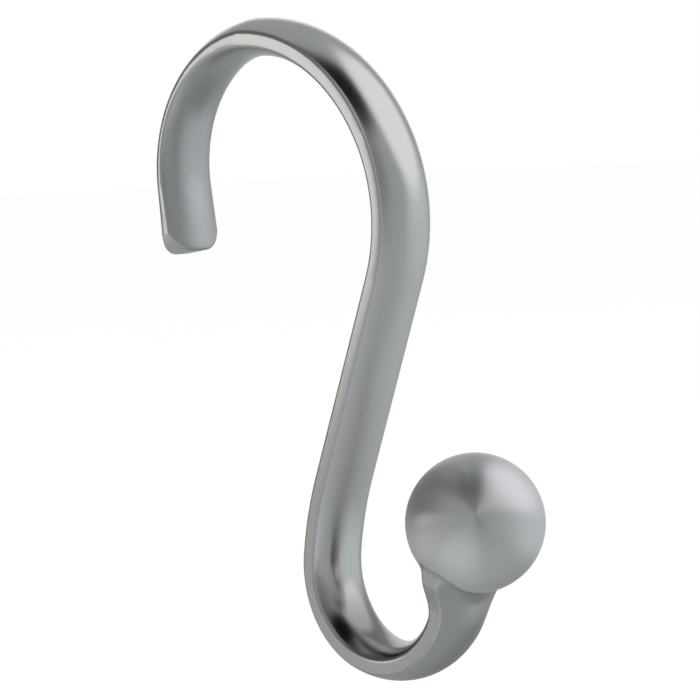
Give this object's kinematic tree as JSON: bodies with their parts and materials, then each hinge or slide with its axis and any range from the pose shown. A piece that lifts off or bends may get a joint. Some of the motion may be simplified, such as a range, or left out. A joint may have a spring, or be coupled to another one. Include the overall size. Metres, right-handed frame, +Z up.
{
  "type": "shower curtain hook",
  "caption": "Metal shower curtain hook: a flat crowned strip bent to an S, with a wide upper bend that hangs over the rod and a small lower bend that ends in a ball.",
  "frame": {"origin": "top of the inside of the upper bend, on the strip's middle line, where the hook sits on its rod", "axes": "+Z up, +X from the rod seat towards the ball's side, +Y across the strip; the S lies in the XZ plane"},
  "size_m": [0.0569, 0.016, 0.0782],
  "materials": {
    "nickel": "satin nickel plate"
  },
  "bodies": {
    "root": {"hook": "nickel"}
  },
  "joints": []
}
